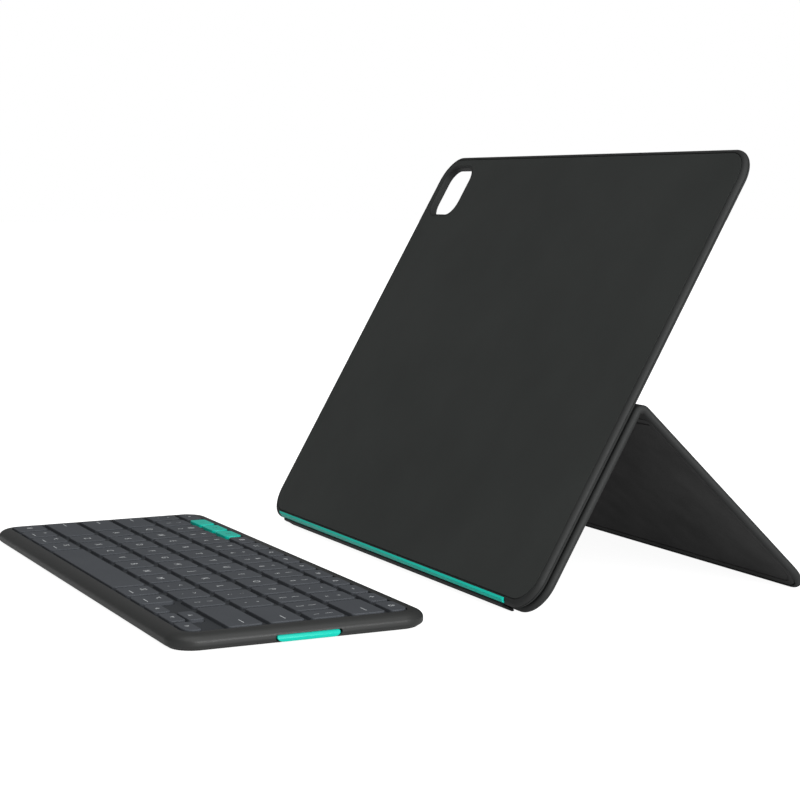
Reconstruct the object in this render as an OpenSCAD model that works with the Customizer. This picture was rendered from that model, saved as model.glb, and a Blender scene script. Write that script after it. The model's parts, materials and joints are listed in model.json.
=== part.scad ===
// Tablet keyboard case: a folio whose lower cover and stand flap prop up the tablet panel,
// and the thin wireless keyboard that lies on the desk in front of it.
// Frame: +Z up, +X to the right of the tablet, +Y towards the stand's foot.
// The origin is the middle of the footprint, on the desk. Millimetres.

/* [Tablet panel] */
// Width of the panel that holds the tablet
panel_w = 285; // [240:0.5:300]
// Height of the panel, measured along its slope
panel_h = 216.8; // [190:0.1:230]
// Thickness of the panel
panel_t = 4; // [3.6:0.1:5]
// Corner radius of the panel and of the cover
panel_corner = 15; // [10:0.5:20]
// How far the front sheet's seam lies in from the edge
seam_inset = 2; // [1.5:0.1:3]
// Slope of the panel above the desk, in degrees
lean = 59.9; // [55:0.1:70]
// Width of the camera window
window_w = 29.3; // [20:0.1:36]
// Height of the camera window
window_h = 28.2; // [20:0.1:36]
// Corner radius of the camera window
window_corner = 8; // [4:0.5:12]
// Distance from the panel's left edge to the camera window
window_side = 6.5; // [5.5:0.1:12]
// Distance from the panel's top edge to the camera window
window_top = 7.2; // [5.5:0.1:12]
// Length of the coloured accent strip
accent_w = 248; // [200:0.2:254]
// Length of the spine
spine_w = 241; // [200:0.2:254]

/* [Cover and stand flap] */
// Thickness of the lower cover and of the stand flap
cover_t = 3.6; // [3:0.1:4.5]
// Air gap between the panel's back and the cover folded behind it
cover_gap = 0.66; // [0.4:0.02:1.5]
// Distance along the slope from the spine to the point of the fold
cover_rise = 97.85; // [80:0.05:120]
// Slope of the stand flap above the desk, in degrees
flap_slope = 44.2; // [38:0.1:60]
// Radius of the fold at the middle of its thickness
fold_mid_r = 2.8; // [2.2:0.1:4]

/* [Keyboard] */
// Width of the keyboard
kb_w = 278; // [260:0.1:290]
// Depth of the keyboard
kb_d = 109.4; // [100:0.1:120]
// Corner radius of the keyboard
kb_corner = 12; // [8:0.5:16]
// Height of the rim above the desk
rim_top = 7.1; // [6.8:0.1:7.4]
// Height of the key tops above the desk
key_top = 7.6; // [7.4:0.1:8.4]
// How far the keyboard's middle lies to the left of the panel's middle
kb_left = 3; // [0:0.1:20]
// Free desk between the keyboard and the panel's front plane
kb_space = 35.6; // [31:0.1:80]
// Length of the power slider on the keyboard's right side
slider_len = 26.6; // [20:0.1:32]
// Travel of the power slider
slider_travel = 1.4; // [1:0.1:2]

/* [Hidden] */
$fn = 48;

FOLIO_NODES = [
  "panel_shell", "panel_face", "panel_board", "panel_magnets", "accent_strip",
  "spine_strip", "spine_core",
  "cover_skin", "cover_board", "cover_liner", "cover_magnets", "fold_strip",
  "flap_skin", "flap_board", "flap_liner", "flap_magnets"
];
KEYBOARD_NODES = [
  "keyboard_base", "keyboard_frame", "support_plate", "membrane", "key_domes",
  "scissor_outer", "scissor_inner", "main_board", "switch_body", "coin_cells",
  "battery_contacts", "battery_door", "battery_door_screw", "case_screws",
  "rubber_feet", "dock_magnets", "power_slider"
];
KEY_NODES = [
  "key_escape", "key_pair_1", "key_pair_2", "key_pair_3", "function_keys", "key_lock",
  "number_keys", "key_delete", "key_tab", "upper_letter_keys", "key_caps",
  "home_letter_keys", "key_return", "key_shift_left", "lower_letter_keys",
  "key_shift_right", "key_fn", "key_control", "key_option_left", "key_command_left",
  "key_space", "key_command_right", "key_option_right", "key_arrow_left",
  "key_arrow_up", "key_arrow_down", "key_arrow_right"
];
PAIR_NODES = ["key_pair_1", "key_pair_2", "key_pair_3"];

// colours
graphite = [0.16, 0.17, 0.17];
liner_grey = [0.12, 0.12, 0.13];
teal = [0.10, 0.72, 0.62];
key_grey = [0.27, 0.29, 0.31];
steel = [0.70, 0.71, 0.73];
board_green = [0.10, 0.35, 0.22];
brass = [0.80, 0.65, 0.30];
film = [0.75, 0.75, 0.70];
silicone = [0.80, 0.80, 0.78];
rubber_black = [0.08, 0.08, 0.08];

eps = 0.1;

// panel layers, seen from the front face backwards
face_t = 0.9;
shell_skin = 0.8;
board_t = panel_t - face_t - shell_skin;
panel_rim = [panel_t / 2, panel_t / 2];
fit_gap = 0.15;
magnet_t = 1.6;

// spine: a thin strip that joins the panel's lower edge to the cover's lower edge
spine_t = 1.1;
spine_toe = 1.5;
spine_front = 0.5;
hinge_gap = 0.1;
core_t = 0.4;
core_front = 1.5;
core_back = 6.6;

// depths behind the panel's front plane
cover_front = panel_t + cover_gap;
cover_back = cover_front + cover_t;
cover_mid = cover_front + cover_t / 2;

// heights along the slope, from the line where the front plane meets the desk
toe_depth = cover_back - spine_toe;
spine_low = (spine_toe + toe_depth * cos(lean)) / sin(lean) - spine_toe;
spine_high = spine_low + spine_t;
panel_low = spine_high + hinge_gap;
panel_high = panel_low + panel_h;

// accent strip along the panel's lower front edge
accent_low = panel_low + 0.1;
accent_high = accent_low + 2.2;
accent_proud = 1;
accent_root = 0.8;
accent_bevel = 1.1;
accent_foot = 0.3;
accent_lip = 0.35;
accent_left_of_middle = 1.5;
pocket_low = accent_high + 0.5;

// cover and flap layers
leaf_edge = cover_t / 2;
leaf_rim = [leaf_edge, leaf_edge];
leaf_skin = 0.8;
liner_t = 0.6;
leaf_board = cover_t - leaf_skin - liner_t;
liner_inset = 2.6;

// fold: the two leaves meet at an angle, and the strip bends around the inside of it
bend = lean + flap_slope;
half_fold = (180 - bend) / 2;
fold_tangent = fold_mid_r / tan(half_fold);
fold_gap = 0.02;
fold_s = panel_low + cover_rise;
fold_y = fold_s * cos(lean) + cover_mid * sin(lean);
fold_z = fold_s * sin(lean) - cover_mid * cos(lean);
foot_run = (fold_z - leaf_edge) / sin(flap_slope);
flap_len = foot_run + leaf_edge - fold_tangent - fold_gap;
foot_y = fold_y + foot_run * cos(flap_slope);
cover_len = fold_s - fold_tangent - panel_low;

// footprint, and the shift that puts the origin in its middle
low_x = -kb_left - kb_w / 2;
high_x = max(panel_w / 2, -kb_left + kb_w / 2);
low_y = -kb_space - kb_d;
high_y = foot_y + leaf_edge;
mid_x = (low_x + high_x) / 2;
mid_y = (low_y + high_y) / 2;

// keyboard layers, as heights above the desk
feet_t = 0.4;
base_t = 0.8;
floor_z = feet_t + base_t;
web_low = 5.3;
web_top = 6.2;
key_low = 5.9;
key_roof = 0.8;
plate_z = 4.5;
plate_t = 0.2;
membrane_t = 0.1;
dome_z = plate_z + plate_t + membrane_t;
dome_h = 0.9;
kb_wall = 2;
kb_rim_low = [1.6, 1.6];
kb_rim_high = [5, 3.4];
base_rim_low = [0.72, 0.72];
base_rim_high = [0.08, 0.08];
base_inset = 1.9;

// key field: five full rows and a low function row
key_u = 15.75;
key_gap = 2.75;
key_h = 14.8;
row_gap = 2.65;
function_h = 8.4;
function_gap = 2.05;
arrow_gap = 0.8;
arrow_h = (key_h - arrow_gap) / 2;
command_w = 17.5;
field_w = 264.6;
field_d = function_h + function_gap + 5 * key_h + 4 * row_gap;
key_r = 2;
key_outer_r = 5;
key_slack = 0.25;
well_margin = 0.6;

small_w = 13.25;
delete_w = field_w - small_w - 12 * key_u - 13 * key_gap;
caps_w = (field_w - 11 * key_u - 12 * key_gap) / 2;
shift_w = (field_w - 10 * key_u - 11 * key_gap) / 2;
space_w = field_w - 7 * key_u - 2 * command_w - 9 * key_gap;
escape_w = 17.4;
function_w = (field_w - 2 * escape_w - 13 * key_gap) / 12;

function is_in(list, name) = len([for (entry = list) if (entry == name) entry]) > 0;
function repeat(name, width, count) = [for (i = [1:count]) [name, width]];
function total(list, count) = count <= 0 ? 0 : list[count - 1][1] + total(list, count - 1);

ROW_FUNCTION = concat(
  [["key_escape", escape_w]],
  [for (i = [1:3]) [str("key_pair_", i), function_w]],
  repeat("function_keys", function_w, 9),
  [["key_lock", escape_w]]
);
ROW_NUMBER = concat(
  [["number_keys", small_w]], repeat("number_keys", key_u, 12), [["key_delete", delete_w]]
);
ROW_UPPER = concat(
  [["key_tab", delete_w]], repeat("upper_letter_keys", key_u, 12),
  [["upper_letter_keys", small_w]]
);
ROW_HOME = concat(
  [["key_caps", caps_w]], repeat("home_letter_keys", key_u, 11), [["key_return", caps_w]]
);
ROW_LOWER = concat(
  [["key_shift_left", shift_w]], repeat("lower_letter_keys", key_u, 10),
  [["key_shift_right", shift_w]]
);
ROW_BOTTOM = [
  ["key_fn", key_u], ["key_control", key_u], ["key_option_left", key_u],
  ["key_command_left", command_w], ["key_space", space_w],
  ["key_command_right", command_w], ["key_option_right", key_u],
  ["key_arrow_left", key_u], ["key_arrow_down", key_u], ["key_arrow_right", key_u]
];

// a key is [node, centre x, centre y, width, depth, four corner radii from +X+Y anticlockwise]
function key_radii(first, last, top, bottom) = [
  last && top ? key_outer_r : key_r,
  first && top ? key_outer_r : key_r,
  first && bottom ? key_outer_r : key_r,
  last && bottom ? key_outer_r : key_r
];
HALF_HEIGHT_NODES = ["key_arrow_left", "key_arrow_down", "key_arrow_right"];
function row_keys(row, front_y, depth, top, bottom) = [
  for (i = [0:len(row) - 1])
    let (
      name = row[i][0],
      width = row[i][1],
      deep = is_in(HALF_HEIGHT_NODES, name) ? arrow_h : depth,
      x = -field_w / 2 + total(row, i) + i * key_gap + width / 2
    )
    [name, x, front_y + deep / 2, width, deep,
     key_radii(i == 0, i == len(row) - 1, top, bottom)]
];
row_pitch = key_h + row_gap;
front = -field_d / 2;
bottom_keys = row_keys(ROW_BOTTOM, front, key_h, false, true);
down_key = bottom_keys[8];
up_key = [
  "key_arrow_up", down_key[1], front + key_h - arrow_h / 2, key_u, arrow_h,
  key_radii(false, false, false, false)
];
KEYS = concat(
  row_keys(ROW_FUNCTION, front + 5 * row_pitch - row_gap + function_gap, function_h, true, false),
  row_keys(ROW_NUMBER, front + 4 * row_pitch, key_h, false, false),
  row_keys(ROW_UPPER, front + 3 * row_pitch, key_h, false, false),
  row_keys(ROW_HOME, front + 2 * row_pitch, key_h, false, false),
  row_keys(ROW_LOWER, front + row_pitch, key_h, false, false),
  bottom_keys,
  [up_key]
);

// battery bay, boards and fastenings of the keyboard
cell_r = 10;
cell_t = 3.2;
cell_pitch = 20.8;
bay_x = -60;
door_w = 88;
door_d = 25;
door_gap = 0.2;
door_corner = 3;
door_screw_side = 3.2;
door_screw_y = 9;
door_screw_len = 1.8;
case_screw_len = 1.9;
board_x = 101.5;
board_w = 60;
board_d = 40;
pcb_t = 0.6;
screw_r = 0.7;
screw_head_r = 1.5;
screw_head_t = 0.45;
boss_r = 2;
boss_inset = 4.5;
foot_x = 92;
foot_w = 24;
foot_d = 4;
foot_inset = 10;
dock_bar = [20, 2.6, 1.6];
dock_bar_xs = [-84, -42, 42, 84];
dock_bar_inset = 4.4;
screw_xs = [-kb_w / 2 + kb_corner + 6, 0, kb_w / 2 - kb_corner - 6];
slider_y = 1;
slot_gap = slider_travel / 2 + 0.12;
slider_low = 0.9;
slider_high = 3.8;
slider_depth = 1.6;
slider_chamfer = 0.3;
slider_play = 0.1;
slider_tongue = [2.4, 3, 0.8];
tongue_z = 2.2;

// ---------- shapes that repeat ----------

function corner_arc(x, y, r, from, n) =
  [for (i = [0:n]) [x + r * cos(from + 90 * i / n), y + r * sin(from + 90 * i / n)]];

function outline(w, h, r, n) = concat(
  corner_arc(w / 2 - r[0], h / 2 - r[0], r[0], 0, n),
  corner_arc(-w / 2 + r[1], h / 2 - r[1], r[1], 90, n),
  corner_arc(-w / 2 + r[2], -h / 2 + r[2], r[2], 180, n),
  corner_arc(w / 2 - r[3], -h / 2 + r[3], r[3], 270, n)
);

// a flat slab with rounded corners, standing on z = 0
module slab(w, h, t, r, n = 6) {
  linear_extrude(t) polygon(outline(w, h, [r, r, r, r], n));
}

// the edge of a plate, from the middle of its corner out to the rounded rim: low and high are
// the half axes of its lower and upper quarter ellipse, as [inwards, upwards]
function rim_profile(reach, t, low, high, n = 5) = concat(
  [[0, 0]],
  [for (i = [0:n])
    [reach - low.x + low.x * sin(90 * i / n), low.y - low.y * cos(90 * i / n)]],
  [for (i = [(t - low.y - high.y > 0.01 ? 0 : 1):n])
    [reach - high.x + high.x * cos(90 * i / n), t - high.y + high.y * sin(90 * i / n)]],
  [[0, t]]
);

// a plate with rounded corners and rounded rims, standing on z = 0
module round_plate(w, h, t, corner, low, high) {
  profile = rim_profile(corner, t, low, high);
  inner_w = w - 2 * corner;
  inner_h = h - 2 * corner;
  translate([-inner_w / 2, -inner_h / 2, 0]) cube([inner_w, inner_h, t]);
  for (side = [0:1]) rotate(180 * side) {
    translate([inner_w / 2, inner_h / 2, 0])
      rotate([90, 0, 0]) linear_extrude(inner_h) polygon(profile);
    rotate(90) translate([inner_h / 2, inner_w / 2, 0])
      rotate([90, 0, 0]) linear_extrude(inner_w) polygon(profile);
    translate([inner_w / 2, inner_h / 2, 0]) rotate_extrude(angle = 90) polygon(profile);
    translate([-inner_w / 2, inner_h / 2, 0])
      rotate(90) rotate_extrude(angle = 90) polygon(profile);
  }
}

// a leaf of the cover: square at y = 0, rounded at its far end, its rims fully round
module leaf(w, reach) {
  difference() {
    translate([0, (reach - panel_corner) / 2, -cover_t / 2])
      round_plate(w, reach + panel_corner, cover_t, panel_corner, leaf_rim, leaf_rim);
    translate([-w, -2 * panel_corner, -cover_t]) cube([2 * w, 2 * panel_corner, 2 * cover_t]);
  }
}

// the room inside a leaf, open on its lining side
module leaf_pocket(w, reach, low, high) {
  pocket_w = w - 2 * liner_inset;
  pocket_h = reach - liner_inset;
  corner = panel_corner - liner_inset;
  intersection() {
    translate([0, (pocket_h - corner) / 2, low])
      slab(pocket_w, pocket_h + corner, high - low, corner);
    translate([-w, 0, low - 1]) cube([2 * w, 2 * reach, high - low + 2]);
  }
}

liner_z = -cover_t / 2;
leaf_board_z = liner_z + liner_t;
leaf_top_z = leaf_board_z + leaf_board;
leaf_magnet = [24, 6, magnet_t];
leaf_magnet_xs = [-100, -50, 0, 50, 100];
leaf_magnet_inset = 18;

module leaf_magnets(reach, grow) {
  for (x = leaf_magnet_xs)
    translate([x - leaf_magnet.x / 2 - grow, reach - leaf_magnet_inset - grow,
        leaf_board_z - (grow > 0 ? 1 : 0)])
      cube([leaf_magnet.x + 2 * grow, leaf_magnet.y + 2 * grow,
        leaf_magnet.z + (grow > 0 ? 1 : 0)]);
}

module leaf_skin_part(w, reach) {
  difference() {
    leaf(w, reach);
    leaf_pocket(w, reach, liner_z - 1, leaf_top_z);
  }
}

module leaf_board_part(w, reach) {
  difference() {
    leaf_pocket(w - 2 * fit_gap, reach - fit_gap, leaf_board_z, leaf_top_z);
    leaf_magnets(reach, fit_gap);
  }
}

module leaf_liner_part(w, reach) {
  leaf_pocket(w - 2 * fit_gap, reach - fit_gap, liner_z, leaf_board_z);
}

// stretches a 2D profile, drawn as (slope height, forward distance), across the case
module across(length) {
  translate([-length / 2, 0, 0]) rotate([90, 0, 90]) linear_extrude(length) children();
}

// ---------- where things stand ----------

module on_desk() {
  translate([-mid_x, -mid_y, 0]) children();
}

// local y runs up the panel's slope, local z points out of its front face
module on_slope() {
  on_desk() rotate([lean, 0, 0]) children();
}

module on_cover() {
  on_slope() translate([0, panel_low + cover_len, -cover_mid]) mirror([0, 1, 0]) children();
}

module on_flap() {
  on_desk() translate([0, fold_y, fold_z]) rotate([-flap_slope, 0, 0])
    translate([0, fold_tangent + fold_gap, 0]) children();
}

module on_keyboard() {
  on_desk() translate([-kb_left, -kb_space - kb_d / 2, 0]) children();
}

// ---------- tablet panel ----------

window_x = -panel_w / 2 + window_side + window_w / 2;
window_s = panel_high - window_top - window_h / 2;
window_wall = 1.2;

module window_block(grow, low, high) {
  translate([window_x, window_s, low])
    slab(window_w + 2 * grow, window_h + 2 * grow, high - low, window_corner + grow);
}

module panel_pocket(shrink, low, high) {
  pocket_high = panel_high - seam_inset;
  difference() {
    translate([0, (pocket_low + pocket_high) / 2, low])
      slab(panel_w - 2 * seam_inset - 2 * shrink, pocket_high - pocket_low - 2 * shrink,
        high - low, panel_corner - seam_inset - shrink);
    window_block(window_wall + shrink, low - 1, high + 1);
  }
}

magnet_bar = [8, 24, magnet_t];
magnet_xs = [-96, 96];
magnet_ss = [24, 62, 100, 138, 176];

module panel_magnet_bars(grow) {
  for (x = magnet_xs, s = magnet_ss)
    translate([x - magnet_bar.x / 2 - grow, s - grow, -panel_t + shell_skin - (grow > 0 ? 1 : 0)])
      cube([magnet_bar.x + 2 * grow, magnet_bar.y + 2 * grow,
        magnet_bar.z + (grow > 0 ? 1 : 0)]);
}

module panel_shell() {
  color(graphite) on_slope() difference() {
    translate([0, (panel_low + panel_high) / 2, -panel_t])
      round_plate(panel_w, panel_h, panel_t, panel_corner, panel_rim, panel_rim);
    panel_pocket(0, -panel_t + shell_skin, 1);
    window_block(0, -panel_t - 1, 1);
    translate([-accent_w / 2 - accent_left_of_middle - eps, panel_low - 1, -accent_root])
      cube([accent_w + 2 * eps, accent_high - panel_low + 1, accent_root + 1]);
  }
}

module panel_face() {
  color(graphite) on_slope() panel_pocket(fit_gap, -face_t, 0);
}

module panel_board() {
  color(liner_grey) on_slope() difference() {
    panel_pocket(fit_gap, -face_t - board_t, -face_t);
    panel_magnet_bars(fit_gap);
  }
}

module panel_magnets() {
  color(steel) on_slope() panel_magnet_bars(0);
}

module accent_strip() {
  color(teal) on_slope() translate([-accent_left_of_middle, 0, 0]) across(accent_w) polygon([
    [accent_low, -accent_root], [accent_high, -accent_root], [accent_high, accent_lip],
    [accent_high - accent_bevel, accent_proud], [accent_low, accent_foot]
  ]);
}

// ---------- spine ----------

module spine_strip() {
  toe_s = spine_low + spine_toe;
  toe_end = asin((toe_s - spine_high) / spine_toe);
  toe = [for (i = [0:6]) let (a = 90 - (90 - toe_end) * i / 6)
    [toe_s - spine_toe * sin(a), -toe_depth - spine_toe * cos(a)]];
  color(graphite) on_slope() difference() {
    across(spine_w) polygon(concat(
      [[spine_high, -spine_front], [spine_low + 0.5, -spine_front], [spine_low, -spine_front - 0.8]],
      toe
    ));
    translate([0, spine_high, 0]) across(spine_w - 4)
      polygon([[-core_t, -core_front], [1, -core_front], [1, -core_back], [-core_t, -core_back]]);
  }
}

module spine_core() {
  color(steel) on_slope() translate([0, spine_high, 0]) across(spine_w - 4 - 2 * fit_gap)
    polygon([
      [-core_t, -core_front - fit_gap], [0, -core_front - fit_gap],
      [0, -core_back + fit_gap], [-core_t, -core_back + fit_gap]
    ]);
}

// ---------- lower cover and fold ----------

module cover_skin() {
  color(graphite) on_cover() leaf_skin_part(panel_w, cover_len);
}

module cover_board() {
  color(liner_grey) on_cover() leaf_board_part(panel_w, cover_len);
}

module cover_liner() {
  color(liner_grey) on_cover() leaf_liner_part(panel_w, cover_len);
}

module cover_magnets() {
  color(steel) on_cover() leaf_magnets(cover_len, 0);
}

module fold_strip() {
  inner_r = fold_mid_r - leaf_edge;
  outer_r = fold_mid_r + leaf_edge;
  centre_s = panel_low + cover_len;
  centre_z = -cover_mid - fold_mid_r;
  steps = 12;
  function bend_arc(r, from, to) = [for (i = [0:steps]) let (a = from + (to - from) * i / steps)
    [centre_s + r * cos(a), centre_z + r * sin(a)]];
  color(graphite) on_slope() across(panel_w - 2 * leaf_edge)
    polygon(concat(bend_arc(outer_r, 90, 90 - bend), bend_arc(inner_r, 90 - bend, 90)));
}

// ---------- stand flap ----------

module flap_skin() {
  color(graphite) on_flap() leaf_skin_part(panel_w, flap_len);
}

module flap_board() {
  color(liner_grey) on_flap() leaf_board_part(panel_w, flap_len);
}

module flap_liner() {
  color(liner_grey) on_flap() leaf_liner_part(panel_w, flap_len);
}

module flap_magnets() {
  color(steel) on_flap() leaf_magnets(flap_len, 0);
}

// ---------- keyboard ----------

module key_prism(key, grow, low, high) {
  translate([key[1], key[2], low])
    linear_extrude(high - low)
      polygon(outline(key[3] + 2 * grow, key[4] + 2 * grow, key[5] + grow * [1, 1, 1, 1], 3));
}

module keycap(key) {
  difference() {
    key_prism(key, 0, key_low, key_top);
    key_prism(key, -key_roof, key_low - 1, key_top - key_roof);
  }
}

module key_node(name) {
  color(is_in(PAIR_NODES, name) ? teal : key_grey)
    on_keyboard() for (key = KEYS) if (key[0] == name) keycap(key);
}

module boss_places() {
  for (x = screw_xs, side = [-1, 1])
    translate([x, side * (kb_d / 2 - boss_inset), 0]) children();
}

module slider_slot() {
  slot_y = slider_y - slider_len / 2 - slot_gap;
  translate([kb_w / 2 - kb_wall - 1, slot_y, slider_low - slider_play])
    cube([kb_wall + 2, slider_len + 2 * slot_gap, slider_high - slider_low + 2 * slider_play]);
}

module keyboard_base() {
  color(graphite) on_keyboard() difference() {
    translate([0, 0, feet_t])
      round_plate(kb_w - 2 * base_inset, kb_d - 2 * base_inset, base_t, kb_corner,
        base_rim_low, base_rim_high);
    translate([bay_x, 0, 0]) slab(door_w, door_d, 3, door_corner);
    boss_places() screw_hole();
    slider_slot();
  }
}

module keyboard_frame() {
  frame_h = rim_top - floor_z;
  color(graphite) on_keyboard() difference() {
    union() {
      difference() {
        translate([0, 0, floor_z])
          round_plate(kb_w, kb_d, frame_h, kb_corner, kb_rim_low, kb_rim_high);
        translate([0, 0, floor_z - 1])
          slab(kb_w - 2 * kb_wall, kb_d - 2 * kb_wall, web_low - floor_z + 1, kb_corner - kb_wall);
      }
      boss_places() translate([0, 0, floor_z]) cylinder(r = boss_r, h = web_low - floor_z + eps);
    }
    translate([0, 0, web_top])
      slab(field_w + 2 * well_margin, field_d + 2 * well_margin, 2, key_outer_r + well_margin);
    for (key = KEYS) key_prism(key, key_slack, web_low - 1, web_top + 1);
    boss_places() translate([0, 0, floor_z - 1]) cylinder(r = screw_r + 0.02, h = 3);
    slider_slot();
  }
}

module support_plate() {
  color(steel) on_keyboard() translate([0, 0, plate_z])
    slab(field_w + 1, field_d + 1, plate_t, key_outer_r);
}

module membrane() {
  color(film) on_keyboard() translate([0, 0, plate_z + plate_t])
    slab(field_w + 1, field_d + 1, membrane_t, key_outer_r);
}

dome_max_r = 2.2;
dome_side = 2;
function dome_r(key) = min(dome_max_r, key[4] / 2 - dome_side);
scissor_w = 10;
scissor_bar = 0.5;
scissor_side = 2.4;

module scissor_ring(key, shrink) {
  ring_w = scissor_w - 2 * shrink;
  ring_h = min(key[4] - scissor_side, scissor_w) - 2 * shrink;
  translate([key[1], key[2], dome_z]) difference() {
    slab(ring_w, ring_h, dome_h, scissor_bar, 2);
    translate([0, 0, -1])
      slab(ring_w - 2 * scissor_bar, ring_h - 2 * scissor_bar, dome_h + 2, scissor_bar / 2, 2);
  }
}

module key_domes() {
  color(silicone) on_keyboard() for (key = KEYS)
    translate([key[1], key[2], dome_z]) cylinder(r = dome_r(key), h = dome_h);
}

module scissor_outer() {
  color("white") on_keyboard() for (key = KEYS) scissor_ring(key, 0);
}

module scissor_inner() {
  color("white") on_keyboard() for (key = KEYS)
    if (key[4] > scissor_w) scissor_ring(key, scissor_bar + 0.2);
}

module main_board() {
  color(board_green) on_keyboard() translate([board_x, 0, floor_z]) slab(board_w, board_d, pcb_t, 2);
}

module switch_body() {
  switch_w = 5;
  color(steel) on_keyboard()
    translate([board_x + board_w / 2 - switch_w, -4, floor_z + pcb_t]) cube([switch_w, 8, 1]);
}

module cell_places() {
  for (i = [-1.5:1:1.5]) translate([bay_x + i * cell_pitch, 0, floor_z]) children();
}

module coin_cells() {
  color(steel) on_keyboard() cell_places() cylinder(r = cell_r, h = cell_t);
}

module battery_contacts() {
  contact = [6, 0.3, 1.3];
  color(brass) on_keyboard() cell_places() for (side = [0, 1])
    mirror([0, side, 0]) translate([-contact.x / 2, cell_r + 0.1, 0]) cube(contact);
}

module door_screw_place() {
  translate([bay_x + door_w / 2 - door_screw_side, door_screw_y, 0]) children();
}

module battery_door() {
  color(graphite) on_keyboard() difference() {
    translate([bay_x, 0, feet_t])
      slab(door_w - 2 * door_gap, door_d - 2 * door_gap, base_t, door_corner - door_gap);
    door_screw_place() screw_hole();
  }
}

// the clearance hole and counterbore that a screw goes through
module screw_hole() {
  translate([0, 0, -1]) {
    cylinder(r = screw_r + 0.05, h = 4);
    cylinder(r = screw_head_r + 0.1, h = 1 + feet_t + screw_head_t);
  }
}

module screw(length) {
  translate([0, 0, feet_t]) {
    difference() {
      cylinder(r = screw_head_r, h = screw_head_t);
      translate([-screw_head_r * 0.7, -0.2, -1]) cube([screw_head_r * 1.4, 0.4, 1.2]);
      translate([-0.2, -screw_head_r * 0.7, -1]) cube([0.4, screw_head_r * 1.4, 1.2]);
    }
    translate([0, 0, screw_head_t]) cylinder(r = screw_r, h = length);
  }
}

module battery_door_screw() {
  color(steel) on_keyboard() door_screw_place() screw(door_screw_len);
}

module case_screws() {
  color(steel) on_keyboard() boss_places() screw(case_screw_len);
}

module rubber_feet() {
  color(rubber_black) on_keyboard() for (x = [-1, 1], y = [-1, 1])
    translate([x * foot_x, y * (kb_d / 2 - foot_inset), 0])
      slab(foot_w, foot_d, feet_t, foot_d / 2);
}

module dock_magnets() {
  color(steel) on_keyboard() for (x = dock_bar_xs, y = [-1, 1])
    translate([x - dock_bar.x / 2, y * (kb_d / 2 - dock_bar_inset) - dock_bar.y / 2, floor_z])
      cube(dock_bar);
}

module power_slider() {
  side_x = kb_w / 2;
  profile = [
    [side_x - slider_depth, slider_low], [side_x - slider_chamfer, slider_low],
    [side_x, slider_low + slider_chamfer], [side_x, slider_high - slider_chamfer],
    [side_x - slider_chamfer, slider_high], [side_x - slider_depth, slider_high]
  ];
  color(teal) on_keyboard() translate([0, slider_y, 0]) {
    translate([0, slider_len / 2, 0]) rotate([90, 0, 0]) linear_extrude(slider_len) polygon(profile);
    translate([side_x - slider_depth - slider_tongue.x, -slider_tongue.y / 2, tongue_z])
      cube(slider_tongue);
  }
}

// ---------- what is drawn ----------

panel_shell();
panel_face();
panel_board();
panel_magnets();
accent_strip();
spine_strip();
spine_core();
cover_skin();
cover_board();
cover_liner();
cover_magnets();
fold_strip();
flap_skin();
flap_board();
flap_liner();
flap_magnets();
keyboard_base();
keyboard_frame();
support_plate();
membrane();
key_domes();
scissor_outer();
scissor_inner();
main_board();
switch_body();
coin_cells();
battery_contacts();
battery_door();
battery_door_screw();
case_screws();
rubber_feet();
dock_magnets();
power_slider();
for (name = KEY_NODES) key_node(name);
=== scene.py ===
import json
import math

import bmesh
import bpy
from mathutils import Matrix, Vector
from mathutils.geometry import tessellate_polygon


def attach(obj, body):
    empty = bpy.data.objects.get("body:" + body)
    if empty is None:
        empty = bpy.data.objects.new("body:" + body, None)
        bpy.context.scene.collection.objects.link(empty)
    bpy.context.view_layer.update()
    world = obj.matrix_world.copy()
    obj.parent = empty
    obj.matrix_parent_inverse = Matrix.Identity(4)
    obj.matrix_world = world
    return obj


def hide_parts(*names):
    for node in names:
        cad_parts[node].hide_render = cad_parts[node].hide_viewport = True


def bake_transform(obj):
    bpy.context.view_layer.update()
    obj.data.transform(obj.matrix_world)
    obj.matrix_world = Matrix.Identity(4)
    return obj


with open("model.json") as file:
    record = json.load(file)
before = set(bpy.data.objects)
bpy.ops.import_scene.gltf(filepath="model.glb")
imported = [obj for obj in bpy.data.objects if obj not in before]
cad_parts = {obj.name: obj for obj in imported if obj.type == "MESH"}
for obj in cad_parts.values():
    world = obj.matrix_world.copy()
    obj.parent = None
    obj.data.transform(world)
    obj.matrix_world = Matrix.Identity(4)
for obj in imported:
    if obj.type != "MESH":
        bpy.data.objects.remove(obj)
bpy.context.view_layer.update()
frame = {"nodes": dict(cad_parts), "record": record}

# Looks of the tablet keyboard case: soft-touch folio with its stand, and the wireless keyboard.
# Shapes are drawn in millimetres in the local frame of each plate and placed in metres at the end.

scene = bpy.context.scene
MM = 0.001

# ---------- driving dimensions, the same as the CAD's ----------

PANEL_W = 285.0
PANEL_H = 216.8
PANEL_T = 4.0
CORNER_R = 15.0
SEAM_INSET = 2.0
LEAN = math.radians(59.9)
WINDOW_W = 29.3
WINDOW_H = 28.2
WINDOW_R = 8.0
WINDOW_SIDE = 6.5
WINDOW_TOP = 7.2
SPINE_W = 241.0
COVER_T = 3.6
COVER_GAP = 0.66
COVER_RISE = 97.85
FLAP_SLOPE = math.radians(44.2)
FOLD_R = 2.8
KB_W = 278.0
KB_D = 109.4
KB_CORNER = 12.0
RIM_TOP = 7.1
KEY_TOP = 7.6
KB_LEFT = 3.0
KB_SPACE = 35.6
SLIDER_LEN = 26.6
SLIDER_TRAVEL = 1.4
SLIDER_Y = 1.0

# ---------- derived places, by the CAD's formulas ----------

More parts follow.
